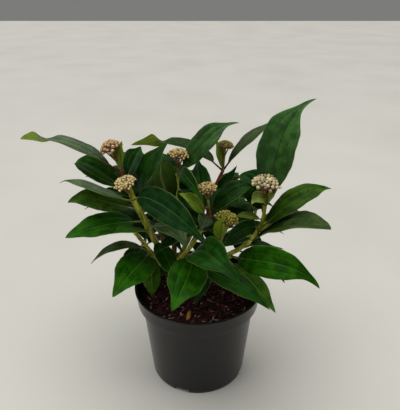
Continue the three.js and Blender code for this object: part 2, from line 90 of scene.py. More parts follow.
# Crown: the woody stool. Its ribs stand below the stems, between hollows.
CROWN = Values(
    x=-26, y=24, lean_x=-16, lean_y=10, height=40, radius=20, shoulder=16,
    flare=7, flare_height=5, squash=0.9, foot=136.3, rings=40, sides=96, tip=0.1,
)
RIBS = Values(hollow=0.12, height=0.1, most=1.2, spread=0.02, grain=0.05)
STEM = Values(
    foot_radius=3.8, top_radius=2.4, sink=6, bare_share=0.1, gap=0.3,
    swelling=0.22, swelling_length=2.2, measured_at=60,
)
BARE = Values(rings=26, sides=14, relief=0.07)
LEAFY = Values(rings=40, sides=12, relief=0.05)

# Leaves: outline, fold and rings. wobble: the margin's small waves, as height, number and lag.
# least_half: the blade's least half width towards its foot and towards its tip.
LEAF = Values(
    petiole_share=0.12, fold=14, fold_soft=0.003, body_skew=0.82, body_power=0.75,
    tip_from=0.64, tip_over=0.24, twist_over=0.2, steps=48, short=60,
    wobble=[(0.012, 4.3, 1), (0.008, 9.1, 2)], least_half=(0.9, 0.12),
)
# What a leaf has unless its line says otherwise. share: its width, of the blade's length. sag and
# bend: how far it droops, and how late. pinch: how narrow its tip is. flip: where its twist starts.
USUAL = dict(share=0.46, sag=45, bend=1.2, pinch=0.42, roll=0, swing=0, twist=0, flip=0.6)
PAIR = Values(
    rise_per_share=110, rise_at_foot=-64, top_share=0.95, top_length=0.84,
    turn_spread=16, rise_spread=12, length_spread=0.16, roll_spread=20,
)
DRAW = Values(factor=1664525, step=1013904223, range=2 ** 32)

# Relief of a blade across each half: side vein, swelling on both sides of it, grooves over the
# veins, waved and curled margin. The midrib's and the rim's width, the thicknesses and the depth
# of a groove are in millimetres, the other sizes in shares of the blade.
RELIEF = Values(
    vein=0.47, side_vein=0.012, midrib=0.42, most_midrib=0.06, under_midrib=0.07,
    rim=0.45, half_thick=0.32, rim_thick=0.12,
    swell=0.045, outer_swell=0.9, ends=0.02,
    groove=0.16, groove_width=0.045, side_groove=0.7,
    wave=0.035, waves=2.6, wave_lag=0.3, curl=0.05, curl_from=0.8, curl_over=0.2,
)
COLUMNS = Values(inner=[0.13, 0.22, 0.32, 0.4], by_vein=0.03, outer=[0.56, 0.66, 0.76, 0.86, 0.94])

# Leaf stalk, which grows with its leaf and runs on below the blade as a thinning midrib
STALK = Values(
    radius=1.4, least=0.55, growth=220, foot=1.25, sides=8,
    midrib=0.75, midrib_share=0.72, midrib_end=0.8, midrib_tip=0.12, midrib_drop=0.1, midrib_step=3,
)

# Flower heads. Heights, drops and the rim's radius are in widths of the head. Clusters stand at a
# share of the rim's radius, and the knots below them, where their rays end, at a share of that.
# The fork lies lower than in the solid model's plain cone.
HEAD = Values(
    fork=-0.6, rim=-0.06, rim_radius=0.44, peak=0.14, dome_power=2.4,
    stalk=(2.2, 1.9, 1.9), stalk_sink=2,
    clusters=6, cluster_at=0.68, knot_at=0.8, knot_drop=0.2,
    ray=(1.3, 1.0, 0.8), ray_sink=1, ray_rise=0.5,
)
# Cushion of short stalks just below the buds, a darker brown than the stalks that also paints the
# shade between the buds: rings as a radius and a drop below the dome
CUSHION = Values(
    rings=[(0.02, 0.035), (0.3, 0.035), (0.55, 0.035), (0.78, 0.04), (0.94, 0.05), (0.9, 0.11),
              (0.5, 0.16)],
    sides=28, grain=0.25,
)
# Buds: radii in widths of the head by kind, how closely they stand, and how far each one varies.
# The buds between two clusters sink a little. Rings of a bud are at tilts from its foot to its top.
BUD_SIZES = dict(rosy=0.06, cream=0.05, gold=0.05, white=0.052, brown=0.044)
BUD = Values(
    fill=0.86, shift=0.35, rise=0.3, size=(0.78, 1.16), sink=0.045, sink_over=0.5,
    stalk=(0.5, 0.4, 0.5), stretch=1.12, tilts=(-84, -55, -26, 0, 26, 50, 72, 86), sides=10,
    shades=("_pale", "", "", "_dark"), calyx_rings=3, calyx_over=0.04,
)


def leaf(at, turn, rise, length, tone="deep", stalk="green", back="plain", **more):
    """One leaf: where it sits on its stem, where it points, its length and its colours."""
    looks = dict(tone=tone, stalk=stalk, back=back)
    return Values(**dict(USUAL, at=at, turn=turn, rise=rise, length=length, **looks, **more))


# Shoots, as in the solid model. foot: turn and height on the crown. top: the node below the
# flower head, or the end. bow: how far the stem's middle is drawn aside. head: from the top to
# the middle of the buds, the head's width, its kind of bud, and how far its dome is stretched.
# pairs: opposite leaves of the same length, as the share of the stem that they sit at, their
# turn, the seed that they vary by, and the side of the one leaf if only that side has room.
SHOOTS = {}
SHOOTS["high_left"] = dict(
    foot=(165, 28), top=(-113, 55, 310), head=((-14, 6, 35), 38, "rosy", 1.5),
    leaves=[
        leaf(0.98, 172, 32, 178, "grey", "red", back="fresh",
             share=0.36, sag=48, bend=1.1, pinch=0.3, roll=12, swing=-20, twist=39, flip=0.61),
        leaf(0.78, 163, 27, 129, "mid", share=0.33, sag=68, bend=2.3, pinch=0.15, roll=-32, swing=-38),
        leaf(0.9, 78, 26, 84, share=0.48, sag=20, roll=29, swing=3),
        leaf(0.56, 9, 87, 121, "dark", share=0.54, sag=61, bend=1.3, roll=-1, swing=40),
        leaf(1, 5, 92, 46, "lime", share=0.52, sag=21, bend=1.3, roll=41, swing=10),
        leaf(0.7, -180, 30, 60), leaf(0.85, 120, 30, 60),
    ],
    length=84, pairs=[(0.5, 150, 79, 1)],
)
SHOOTS["mid_left"] = dict(
    foot=(212, 28), top=(-91, -5, 294), head=((-7, -7, 27), 33, "cream"),
    leaves=[
        leaf(0.95, -176, 20, 117, "grey", share=0.2, sag=59, bend=3.5, roll=-2, swing=-40),
        leaf(0.97, -55, 32, 154, "blue", share=0.28, sag=77, bend=0.8, roll=60, swing=26),
        leaf(0.84, -177, 19, 101, "warm", share=0.41, sag=56, bend=2.9, pinch=0.2, roll=-34, swing=-8),
        leaf(0.68, -159, 9, 111, "bright", sag=23, bend=1, pinch=0.12, roll=-19, swing=4),
        leaf(0.56, -105, 27, 110, "mid", share=0.31, sag=6, bend=1.8, roll=-6, swing=-10),
        leaf(0.6, -35, 25, 90, "grey", share=0.62, sag=82, bend=1.8, roll=-2, swing=-25),
    ],
    length=74, pairs=[(0.42, 120, 35, 1)],
)
SHOOTS["top_middle"] = dict(
    foot=(84, 33.5), top=(-30, 60, 303), head=((2, 2, 32), 37, "gold"),
    leaves=[
        leaf(0.99, -7, 54, 124, "sheen", share=0.34, sag=59, bend=3.3, pinch=0.68, roll=48, swing=10),
        leaf(0.62, -110, 48, 165, "olive", back="dusk", share=0.33, sag=5, bend=1.3, roll=41, swing=34),
        leaf(0.98, -75, 36, 111, share=0.21, sag=71, bend=0.8, roll=58, swing=14),
        leaf(0.85, -60, -5, 84),
    ],
    length=80, pairs=[(0.82, 93, 37, 0), (0.5, 178, 82, 1)],
)
SHOOTS["centre"] = dict(
    foot=(-28, 33.5), top=(16, 0, 270), bow=(6, -4, -8), head=((-4, -4, 40), 32, "gold"),
    leaves=[
        leaf(0.96, 110, 42, 98, "deep", "red", share=0.41, sag=21, bend=1.3, roll=-28, swing=-21),
        leaf(0.92, -169, 55, 58, "fresh", back="fresh", share=0.58, sag=23, bend=1.3, roll=-29, swing=6),
        leaf(0.97, 5, 47, 86, "dark", "red", share=0.44, sag=98, bend=2.7, roll=22, swing=10),
        leaf(0.95, -101, 15, 44, "grey", share=0.6, sag=46, bend=1.4, roll=-31, swing=-7),
    ],
    length=74, pairs=[(0.66, 29, 68)],
)
SHOOTS["back_right"] = dict(
    foot=(38, 31.5), top=(38, 85, 298), head=((3, 4, 41), 30, "brown", 1.3),
    leaves=[
        leaf(1, 16, 54, 120, "moss", "red", share=0.29, sag=47, bend=1, pinch=0.5, roll=-7, swing=34),
        leaf(1, 140, 27, 177, "olive", "red", back="fresh",
             share=0.31, bend=0.8, roll=6, swing=28, twist=60, flip=0.57),
        leaf(0.68, 6, 45, 69, share=0.29, sag=0, roll=36, swing=40),
        leaf(1, -151, 77, 53, "lime", share=0.45, sag=0, roll=-51, swing=-24),
        leaf(0.85, -90, -5, 84),
    ],
    length=84, pairs=[(0.5, 120, 75, 0)],
)
SHOOTS["right"] = dict(
    foot=(2, 27), top=(95, 12, 274), bow=(63, -6, -32), head=((0, -4, 40), 45, "white"),
    leaves=[
        leaf(1, 16, 81, 170, "sheen", share=0.4, sag=67, bend=3.4, pinch=0.68, roll=37, swing=-10),
        leaf(0.74, 4, 45, 136, "warm", share=0.33, sag=72, bend=1.9, roll=16, swing=28),
        leaf(0.58, -27, 42, 142, "moss", share=0.58, sag=36, bend=1.1, pinch=0.15, roll=2, swing=-25),
        leaf(0.9, 125, 68, 87, share=0.58, sag=113, bend=1.8, roll=-31, swing=-2),
        leaf(0.86, -180, 20, 43, "lime", share=0.36, sag=51, bend=1.9, roll=-28, swing=-7),
        leaf(0.99, -161, 88, 37, "pale", back="fresh", share=0.72, sag=150, bend=1, roll=-31, swing=19),
        leaf(0.99, 6, 69, 42, "pale", back="fresh", share=0.54, sag=34, bend=1.9, roll=12, swing=2),
        leaf(0.76, -138, 34, 79, "dark", share=0.34, sag=74, bend=0.8, roll=-60, swing=-1),
        leaf(0.66, 5, 45, 80, "pale", share=0.26, sag=25, bend=1.4, roll=4, swing=-3),
        leaf(0.66, 145, -13, 28, "pale", share=0.47, sag=32, bend=0.8, roll=-16, swing=-6),
        leaf(0.7, 30, 30, 84), leaf(0.4, 60, -5, 84),
    ],
    length=84, pairs=[(0.44, 160, 71, 1)],
)
SHOOTS["front_right"] = dict(
    foot=(-58, 27), top=(31, -34, 240), head=((8, -4, 42), 35, "brown"),
    leaves=[leaf(1, -90, 70, 64, "lime", back="fresh", share=0.41, sag=12, bend=1.4, roll=17, swing=10)],
    length=72, pairs=[(0.75, 200, 44, 1)],
)
SHOOTS["low_left"] = dict(
    foot=(232, 15), top=(-74, 8, 203),
    leaves=[
        leaf(0.98, -175, 27, 95, "moss", share=0.35, sag=78, bend=0.8, roll=4, swing=4),
        leaf(0.92, -100, 12, 120, "bright", share=0.47, sag=36, bend=1.8, pinch=0.3, roll=-19, swing=-19),
        leaf(0.9, -83, -12, 76, "clear", share=0.39, sag=99, roll=2, swing=-1),
    ],
    length=76, pairs=[(0.6, 160, 11, 0)],
)
SHOOTS["low_front"] = dict(
    foot=(262, 8), top=(-5, -30, 223), bow=(0, -6, -8),
    leaves=[
        leaf(0.98, -94, -2, 109, "bright", share=0.53, sag=27, bend=1.7, pinch=0.38, roll=-11, swing=-24),
        leaf(0.95, -83, 40, 146, share=0.35, sag=74, bend=1.5, roll=35, swing=40),
        leaf(0.8, -40, -1, 134, share=0.3, sag=28, bend=1.5, roll=10, swing=7),
    ],
    length=70, pairs=[(0.55, 0, 73, 1)],
)
SHOOTS["low_right"] = dict(
    foot=(-32, 13), top=(49, -12, 206),
    leaves=[
        leaf(0.98, -60, 22, 157, "bright", share=0.31, sag=78, bend=2.9, pinch=0.5, roll=60, swing=40),
        leaf(0.88, -38, -25, 104, "clear", share=0.39, sag=24, pinch=0.3, roll=4, swing=4),
        leaf(0.55, 120, 30, 60),
    ],
    length=76, pairs=[(0.5, 70, 62, 1)],
)
SHOOTS["rear_left"] = dict(
    foot=(128, 27), top=(-88, 112, 262),
    leaves=[leaf(0.7, 150, 30, 84)],
    length=108, pairs=[(1.0, 140, 99), (0.84, 170, 16), (0.72, 0, 85)],
)
SHOOTS["rear_middle"] = dict(
    foot=(106, 22), top=(-32, 128, 252),
    leaves=[leaf(0.55, -30, -5, 60)],
    length=104, pairs=[(1.0, 130, 27), (0.84, 120, 60, 0), (0.66, 160, 64, 0)],
)
SHOOTS["rear_right"] = dict(
    foot=(60, 22), top=(42, 132, 250),
    leaves=[leaf(0.7, -90, -5, 84), leaf(0.85, 60, 30, 84)],
    length=108, pairs=[(1.0, 120, 5, 1), (0.84, 140, 5), (0.68, 140, 82)],
)
SHOOTS["far_right"] = dict(
    foot=(20, 21), top=(92, 84, 226),
    leaves=[
        leaf(0.56, -31, -1, 95, "moss", share=0.4, sag=0, roll=-15, swing=21),
        leaf(0.7, 60, 30, 84), leaf(0.7, -30, -5, 60),
    ],
    length=102, pairs=[(1.0, 70, 7), (0.82, 110, 12, 0), (0.62, 20, 17, 0)],
)
SHOOTS["far_left"] = dict(
    foot=(186, 15), top=(-112, 66, 218),
    leaves=[leaf(0.7, 120, 30, 84), leaf(0.55, 90, 30, 84), leaf(0.55, 60, -5, 84)],
    length=98, pairs=[(1.0, 60, 41, 1), (0.8, 10, 10, 1), (0.6, 90, 79), (0.78, 120, 3, 0)],
)


# Camera, light and floor

def make_studio():
    scene = bpy.context.scene
    scene.view_settings.view_transform = "Standard"

    data = bpy.data.cameras.new("camera")
    data.sensor_width = CAMERA.sensor
    data.lens = CAMERA.sensor * CAMERA.focal / CAMERA.frame
    camera = bpy.data.objects.new("camera", data)
    camera.location = [MM * v for v in CAMERA.place]
    camera.rotation_euler = (radians(90 - CAMERA.pitch), 0, 0)
    scene.collection.objects.link(camera)
    scene.camera = camera

    for name, (place, power) in PANELS.items():
        light = bpy.data.lights.new(name, "AREA")
        light.shape, light.size, light.energy = "DISK", PANEL.size, power
        lamp = bpy.data.objects.new(name, light)
        lamp.location = place
        away = np.array(place) - np.array(PANEL.aim)
        flat = hypot(away[0], away[1])
        lamp.rotation_euler = (atan2(flat, away[2]), 0, atan2(away[0], -away[1]))
        scene.collection.objects.link(lamp)

    soft = bpy.data.lights.new("overhead", "SUN")
    soft.energy, soft.angle = SUN.power, radians(SUN.spread)
    lamp = bpy.data.objects.new("overhead", soft)
    lamp.rotation_euler = [radians(v) for v in (*SUN.tilt, 0)]
    scene.collection.objects.link(lamp)

    world = bpy.data.worlds.new("studio")
    world.use_nodes = True
    background = world.node_tree.nodes["Background"].inputs
    background["Color"].default_value = ROOM.colour
    background["Strength"].default_value = ROOM.strength
    scene.world = world

    bpy.ops.mesh.primitive_plane_add(size=FLOOR.size, location=(0, 0, 0))
    floor = bpy.context.object
    floor.name = "floor"
    plain = finish("floor", FLOOR.colours, FLOOR.roughness, scale=FLOOR.grain)
    floor.data.materials.append(plain)


# Materials. Colours are as on a screen, 0 to 255.

# Leaves from above, by tone: two colours of the blade, that of the veins, and how far it reflects.
# Some tones paint light or shade on the leaves that they are dealt to, as noted above each.
TONES = {
    "deep": ((14, 50, 4), (24, 64, 8), (44, 78, 20), 0.045),
    "blue": ((14, 48, 14), (24, 60, 20), (64, 94, 48), 0.045),
    "mid": ((22, 60, 2), (34, 74, 4), (52, 90, 18), 0.045),
    "bright": ((23, 67, 1), (36, 85, 3), (74, 116, 32), 0.045),
    "olive": ((22, 46, 4), (34, 58, 8), (76, 98, 34), 0.045),
    "moss": ((34, 56, 10), (50, 70, 20), (70, 90, 34), 0.1),
    # Painted sheen: lighter greens for leaves facing up, standing in for the light that they reflect
    "sheen": ((36, 76, 22), (54, 96, 36), (26, 60, 16), 0.22),
    # Painted light: a lighter green for low leaves, standing in for the light that falls on them
    "clear": ((46, 84, 12), (66, 104, 24), (100, 134, 54), 0.045),
    # Painted shade: a darker green for leaves that lie in shade
    "dark": ((14, 44, 3), (24, 58, 7), (34, 62, 16), 0.045),
    "warm": ((38, 70, 8), (57, 88, 18), (68, 98, 28), 0.045),
    "fresh": ((110, 144, 32), (134, 162, 52), (150, 174, 70), 0.1),
    "pale": ((166, 194, 80), (196, 216, 112), (160, 174, 96), 0.1),
    # Painted sheen: a greyer green for leaves facing up, standing in for the light that they reflect
    "grey": ((52, 76, 37), (68, 91, 48), (84, 108, 58), 0.2),
    "lime": ((102, 126, 30), (124, 146, 48), (124, 142, 58), 0.1),
}
HIDDEN_TONES = ["deep", "mid", "deep", "blue", "mid", "bright", "deep"]
# How far a tone spreads past its colours, and how many parts of the blade's colour go with one of
# the vein's in its side veins
TONE_SPAN = {"low": 0.92, "high": 1.06, "vein": 1.1, "side_vein": 2.2}
BACKS = {
    "plain": [(86, 112, 16), (108, 132, 28)],
    "fresh": [(116, 148, 18), (138, 166, 36)],
    # Painted shade: a darker underside for a leaf whose back lies in shade
    "dusk": [(44, 70, 10), (58, 86, 22)],
}
# Small veins of a leaf, in centimetres, drawn back towards its margins; how they shade it; and
# the painted shade that darkens it towards its foot and lightens it a little towards its tip
VEINLETS = {"Scale": 0.42, "Distortion": 2.2, "Detail": 3, "Detail Scale": 2.5}
VEINLET_LEAN = 0.075
VEINLET_SHADE = {"From Min": 0.1, "From Max": 0.9, "To Min": 0.97, "To Max": 1.03}
VEINLET_DEPTH = 0.6
FOOT_PAINTED_SHADE = {"From Min": 0.5, "From Max": 7, "To Min": 0.62, "To Max": 1.12}
# Bare stems that are brown, and the share of a leafy one from which it is russet
BROWN_STEMS = ["top_middle", "rear_left", "rear_right", "low_front"]
RUSSET_TOPS = {"centre": 0.72, "back_right": 0.62, "high_left": 0.9}
BUDS = {
    "rosy": [(184, 146, 100), (212, 180, 130)],
    "cream": [(212, 186, 122), (236, 216, 160)],
    "gold": [(180, 152, 86), (210, 188, 130)],
    "white": [(206, 190, 140), (232, 220, 178)],
    "brown": [(120, 114, 34), (156, 144, 58)],
}
BUD_LEVELS = {"_pale": 1.08, "": 0.98, "_dark": 0.72}
# Noise: its detail, and the spans of it that the colours and the gloss spread over
NOISE = {"detail": 4, "fine_detail": 6, "first": 0.32, "span": 0.36, "gloss": (0.3, 0.7)}


def linear(colour):
    """A colour on a screen, 0 to 255, as Blender's linear light."""
    return [((c / 255 + 0.055) / 1.055) ** 2.4 if c > 10 else c / 255 / 12.92 for c in colour] + [1]


def toned(colour, level):
    return [min(255, c * level) for c in colour]


def finish(name, colours, roughness, scale, stretch=(1, 1, 1), bump=None, spread=0.08, specular=0.5,
           veinlets=0.0):
    """A material whose colour, gloss and relief vary over the surface as noise does. bump: how
    strong the fine relief is, its scale, and its depth. A leaf also has small veins, and painted
    shade darkens it towards its foot."""
    material = bpy.data.materials.new(name)
    material.use_nodes = True
    nodes, links = material.node_tree.nodes, material.node_tree.links
    shader = nodes["Principled BSDF"]
    shader.inputs["Specular IOR Level"].default_value = specular

    def add(kind, values, feeds, **modes):
        """A node in these modes, with values set on its sockets and feeds linked to them."""
        made = nodes.new("ShaderNode" + kind)
        for mode, value in modes.items():
            setattr(made, mode, value)
        for socket, value in values.items():
            made.inputs[socket].default_value = value
        for socket, source in feeds.items():
            links.new(source, made.inputs[socket])
        return made

    def raised(height, strength, far, below):
        """The normal of a relief, on top of the normal below it."""
        feeds = {"Height": height, "Normal": below} if below else {"Height": height}
        values = {"Strength": strength, "Distance": MM * far}
        return add("Bump", values, feeds).outputs["Normal"]

    place = nodes.new("ShaderNodeTexCoord").outputs
    mapping = add("Mapping", {"Scale": stretch}, {"Vector": place["Object"]}).outputs["Vector"]
    wide = {"Scale": scale, "Detail": NOISE["detail"]}
    noise = add("TexNoise", wide, {"Vector": mapping}).outputs["Fac"]
    ramp = add("ValToRGB", {}, {"Fac": noise})
    stops = ramp.color_ramp.elements
    while len(stops) < len(colours):
        stops.new(0.5)
    for i, colour in enumerate(colours):
        stops[i].position = NOISE["first"] + NOISE["span"] * i / (len(colours) - 1)
        stops[i].color = linear(colour)
    shown, normal = ramp.outputs["Color"], None

    if bump:
        strength, fine_scale, far = bump
        fine = {"Scale": fine_scale, "Detail": NOISE["fine_detail"]}
        grain = add("TexNoise", fine, {"Vector": mapping}).outputs["Fac"]
        normal = raised(grain, strength, far, normal)
    if veinlets:
        flat = {"Vector": place["UV"]}
        bands = add("TexWave", VEINLETS, flat, bands_direction="Y").outputs["Fac"]
        along = add("SeparateXYZ", {}, flat).outputs["Y"]
        # Painted shade: the leaf darker towards its foot, and a little lighter towards its tip
        depth = add("MapRange", FOOT_PAINTED_SHADE, {"Value": along}).outputs["Result"]
        lines = add("MapRange", VEINLET_SHADE, {"Value": bands}).outputs["Result"]
        both = add("Math", {}, {0: depth, 1: lines}, operation="MULTIPLY").outputs["Value"]
        shown = add("VectorMath", {}, {0: shown, "Scale": both}, operation="SCALE").outputs["Vector"]
        normal = raised(bands, veinlets, VEINLET_DEPTH, normal)

    low, high = NOISE["gloss"]
    span = {"From Min": low, "From Max": high, "To Min": roughness - spread, "To Max": roughness + spread}
    gloss = add("MapRange", span, {"Value": noise}).outputs["Result"]
    links.new(shown, shader.inputs["Base Color"])
    links.new(gloss, shader.inputs["Roughness"])
    if normal:
        links.new(normal, shader.inputs["Normal"])
    return material


def stem_finishes():
    return {
        "green": finish("stem_green", [(112, 98, 16), (162, 168, 26), (214, 214, 90)], 0.42, scale=110,
                        stretch=(1, 1, 0.2), bump=(0.35, 700, 0.5)),
        "brown": finish("stem_brown", [(66, 34, 20), (96, 72, 34), (126, 112, 60)], 0.6, scale=150,
                        stretch=(1, 1, 0.2), bump=(0.5, 600, 0.6)),
        "russet": finish("stem_russet", [(88, 24, 18), (116, 48, 26), (136, 96, 46)], 0.5, scale=180,
                         stretch=(1, 1, 0.3), bump=(0.35, 700, 0.5), specular=0.2),
        "stalk_green": finish("petiole_green", [(88, 96, 36), (112, 118, 52)], 0.45, scale=200,
                              bump=(0.2, 800, 0.4)),
        "stalk_red": finish("petiole_red", [(74, 14, 16), (104, 30, 26)], 0.4, scale=200,
                            bump=(0.2, 800, 0.4), specular=0.2),
    }


def leaf_finishes():
    """The upper face, side veins and midrib of each tone, the rim with its painted highlight, and the
    undersides.
    """
    skins = {}
    parts = TONE_SPAN["side_vein"]
    for tone, (dark, light, vein, gloss) in TONES.items():
        name = "leaf_" + tone
        blade = [toned(dark, TONE_SPAN["low"]), dark, light, toned(light, TONE_SPAN["high"])]
        side = [[(a + parts * b) / (1 + parts) for a, b in zip(vein, colour)] for colour in (dark, light)]
        midrib = [vein, toned(vein, TONE_SPAN["vein"])]
        skins[tone] = finish(name, blade, 0.38, scale=70, bump=(0.1, 1500, 0.2), veinlets=0.15,
                             specular=gloss)
        skins[tone + "_side"] = finish(name + "_side", side, 0.42, scale=90, specular=0.08)
        skins[tone + "_vein"] = finish(name + "_vein", midrib, 0.45, scale=90, specular=0.1)
    # The rim: a pale green along each margin, a painted highlight of the leaf's edge
    skins["rim"] = finish("leaf_rim_highlight", [(80, 106, 34), (106, 128, 50)], 0.45, scale=90, specular=0.2)
    for back, colours in BACKS.items():
        skins["under_" + back] = finish("leaf_under_" + back, colours, 0.6, scale=80,
                                        bump=(0.15, 1200, 0.4), veinlets=0.4, specular=0.2)
    skins["under_vein"] = finish("leaf_under_vein", [(108, 120, 64), (124, 134, 78)], 0.55, scale=90)
    return skins


def flower_finishes():
    skins = {
        "peduncle": finish("flower_peduncle", [(104, 96, 34), (142, 140, 62)], 0.5, scale=160,
                           bump=(0.2, 640, 0.4), specular=0.3),
        "ray": finish("flower_ray", [(112, 80, 28), (150, 134, 58)], 0.5, scale=220,
                      bump=(0.2, 880, 0.4)),
        "calyx": finish("flower_calyx", [(96, 54, 26), (120, 78, 38)], 0.55, scale=300, specular=0.2),
        # The cushion: the brown of short stalks, darkened as painted shade in the gaps between the buds
        "cushion": finish("flower_cushion", [(58, 28, 12), (90, 50, 22), (104, 70, 32)], 0.7, scale=420,
                          bump=(0.6, 900, 0.8)),
    }
    for kind, pair in BUDS.items():
        for shade, level in BUD_LEVELS.items():
            name, colours = "bud_" + kind + shade, [toned(colour, level) for colour in pair]
            skins[name] = finish(name, colours, 0.36, scale=350, bump=(0.2, 1400, 0.4), specular=0.25)
    return skins


# Pieces

def unit(vectors):
    return vectors / np.linalg.norm(vectors, axis=-1, keepdims=True)


def crosswise(forward):
    """Two directions square to each forward one, and to each other."""
    side = unit(np.cross(ASIDE, forward))
    return side, np.cross(forward, side)


def angles(count):
    """Angles round a full turn."""
    return np.linspace(0, TURN, count, endpoint=False)


def circle(forward, sides):
    """A ring of directions round each forward one."""
    side, up = crosswise(forward)
    angle = angles(sides)[:, None]
    return np.cos(angle) * side[..., None, :] + np.sin(angle) * up[..., None, :]


def grain(random, shape):
    """Noise over rings and sides, smoothed a little along and across."""
    rough = random.normal(0, 1, shape)
    return (rough + np.roll(rough, 1, 0) + np.roll(rough, 1, 1) + np.roll(rough, 2, 0)) / 4


class Piece:
    """Collects grids of points into one mesh; every face has a material by name."""

    def __init__(self, name, finishes):
        self.name, self.finishes = name, finishes
        self.points, self.faces, self.slots, self.uvs, self.count = [], [], [], [], 0

    def grid(self, points, slot, uv=None, closed=False):
        """points has rows and columns. slot is a material's name, or one for each column.
        A closed grid joins its last column to its first."""
        rows, columns = points.shape[:2]
        index = self.count + np.arange(rows * columns).reshape(rows, columns)
        after = np.roll(index, -1, axis=1) if closed else index[:, 1:]
        here = index if closed else index[:, :-1]
        quads = np.stack([here[:-1], after[:-1], after[1:], here[1:]], axis=-1)
        wide = quads.shape[1]
        named = [slot] * wide if isinstance(slot, str) else slot[:wide]
        names = list(self.finishes)
        self.points.append(points.reshape(-1, 3))
        self.faces.append(quads.reshape(-1, 4))
        self.slots.append(np.tile([names.index(one) for one in named], rows - 1))
        self.uvs.append((np.zeros((rows, columns, 2)) if uv is None else uv).reshape(-1, 2))
        self.count += rows * columns

    def tube(self, centres, radii, slot, sides=10, relief=0.0, random=None):
        """A tube through centres, drawn in to a pinhole at its ends; relief roughens its radius."""
        centres, radii = np.asarray(centres, float), np.asarray(radii, float)[:, None]
        if relief:
            radii = radii * (1 + relief * grain(random, (len(centres), sides)))
        ring = circle(unit(np.gradient(centres, axis=0)), sides)
        skin = centres[:, None] + radii[..., None] * ring
        pinhole = 0.02
        ends = [centres[:1, None] + pinhole * ring[:1], skin, centres[-1:, None] + pinhole * ring[-1:]]
        self.grid(np.concatenate(ends), slot, closed=True)

    def make(self, slot, *nodes):
        """The mesh object, riding on the part and standing for its solids."""
        points = np.concatenate(self.points) * MM
        faces = np.concatenate(self.faces)
        mesh = bpy.data.meshes.new(self.name)
        mesh.vertices.add(len(points))
        mesh.vertices.foreach_set("co", points.ravel())
        mesh.loops.add(faces.size)
        mesh.loops.foreach_set("vertex_index", faces.ravel())
        mesh.polygons.add(len(faces))
        mesh.polygons.foreach_set("loop_start", np.arange(len(faces)) * 4)
        mesh.polygons.foreach_set("material_index", np.concatenate(self.slots))
        mesh.polygons.foreach_set("use_smooth", np.ones(len(faces), bool))
        mesh.uv_layers.new(name="UVMap")
        mesh.uv_layers[0].uv.foreach_set("vector", np.concatenate(self.uvs)[faces.ravel()].ravel())
        mesh.update()
        mesh.validate()
        for material in self.finishes.values():
            mesh.materials.append(material)
        piece = bpy.data.objects.new(self.name, mesh)
        bpy.context.scene.collection.objects.link(piece)
        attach(piece, "root")
        if nodes:
            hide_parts(*nodes)


# Pot and soil

def turned(profile, sides):
    """Rows of points round the axis from a profile of radii and heights."""
    profile = np.array(profile, float)
    angle = angles(sides)
    out = np.empty((len(profile), sides, 3))
    out[..., 0] = profile[:, :1] * np.cos(angle)
    out[..., 1] = profile[:, :1] * np.sin(angle)
    out[..., 2] = profile[:, 1:]
    return out


def rounded(profile, radius, steps=4, most=0.45):
    """The profile with its corners rounded off, over at most this share of their sides."""
    profile = [np.array(p, float) for p in profile]
    out = [profile[0]]
    for before, corner, after in zip(profile, profile[1:], profile[2:]):
        back, ahead = before - corner, after - corner
        far = min(radius, most * np.linalg.norm(back), most * np.linalg.norm(ahead))
        start = corner + back / np.linalg.norm(back) * far
        end = corner + ahead / np.linalg.norm(ahead) * far
        for i in range(steps + 1):
            s = i / steps
            out.append((1 - s) ** 2 * start + 2 * s * (1 - s) * corner + s * s * end)
    return out + [profile[-1]]


# Radii and heights of the pot's inside, from its floor up
INNER = [
    (POT.base_radius - POT.wall, POT.floor),
    (POT.shoulder_radius - POT.wall, POT.collar_foot - POT.wall),
    (POT.collar_radius - POT.wall, POT.collar_foot + POT.wall),
    (POT.lip_radius - POT.lip_width, POT.height),
]


def inside_radius(height):
    return np.interp(height, [h for _, h in INNER], [r for r, _ in INNER])


def pot_profile():
    """Radii and heights of the pot's skin: under it, up the wall, over the lip and down inside."""
    lip, edge, base = POT.lip_radius, POT.edge, POT.base_radius
    slope = (POT.shoulder_radius - base) / (POT.collar_foot - edge)
    foot = [(POT.centre, 0), (base - edge, 0), (base, edge)]
    heights = [NOTCH.height + above for above in POT_ROWS.above_notch] + POT_ROWS.wall
    wall = [(base + slope * (h - edge), h) for h in heights]

    shoulder = (POT.shoulder_radius, POT.collar_foot)
    collar = (POT.collar_radius, POT.collar_foot)
    lip_foot = POT.height - POT.lip_depth
    brim = [(lip - POT.lip_overhang, lip_foot), (lip, lip_foot + edge), (lip, POT.height)]
    middle = ((collar[0] + brim[0][0]) / 2, (collar[1] + brim[0][1]) / 2)
    inner = [*reversed(INNER), (POT.centre, POT.floor)]
    step = [wall[-1], shoulder, collar, middle]
    collar_rows = rounded(step, ROUNDING.collar, POT_ROWS.collar_corner)
    lip_rows = rounded([middle, *brim, *inner], ROUNDING.lip)
    return rounded(foot, ROUNDING.foot) + wall + collar_rows[1:] + lip_rows[1:]


def make_pot():
    skin = turned(pot_profile(), POT.sides)

    # The drain notches: the lowest rows step inwards over each notch's width
    base = POT.base_radius
    angle = np.degrees(np.arctan2(skin[..., 1], skin[..., 0]))
    radius = np.hypot(skin[..., 0], skin[..., 1])
    low = (skin[..., 2] < NOTCH.height) & (radius > base - 2 * NOTCH.depth)
    for i in range(NOTCH.count):
        turn = NOTCH.turn + 360 * i / NOTCH.count
        apart = np.abs((angle - turn + 180) % 360 - 180)
        cut = low & (np.radians(apart) * base < NOTCH.width / 2)
        shrink = (base - NOTCH.depth) / radius[cut]
        skin[cut, :2] *= np.minimum(shrink, 1)[:, None]

    plastic = finish("pot_plastic", [(5, 5, 8), (8, 7, 10)], 0.26, scale=12, bump=(0.04, 900, 0.1),
                     spread=0.015, specular=0.39)
    piece = Piece("nursery_pot", {"plastic": plastic})
    piece.grid(skin, "plastic", closed=True)
    piece.make("pot", "pot")


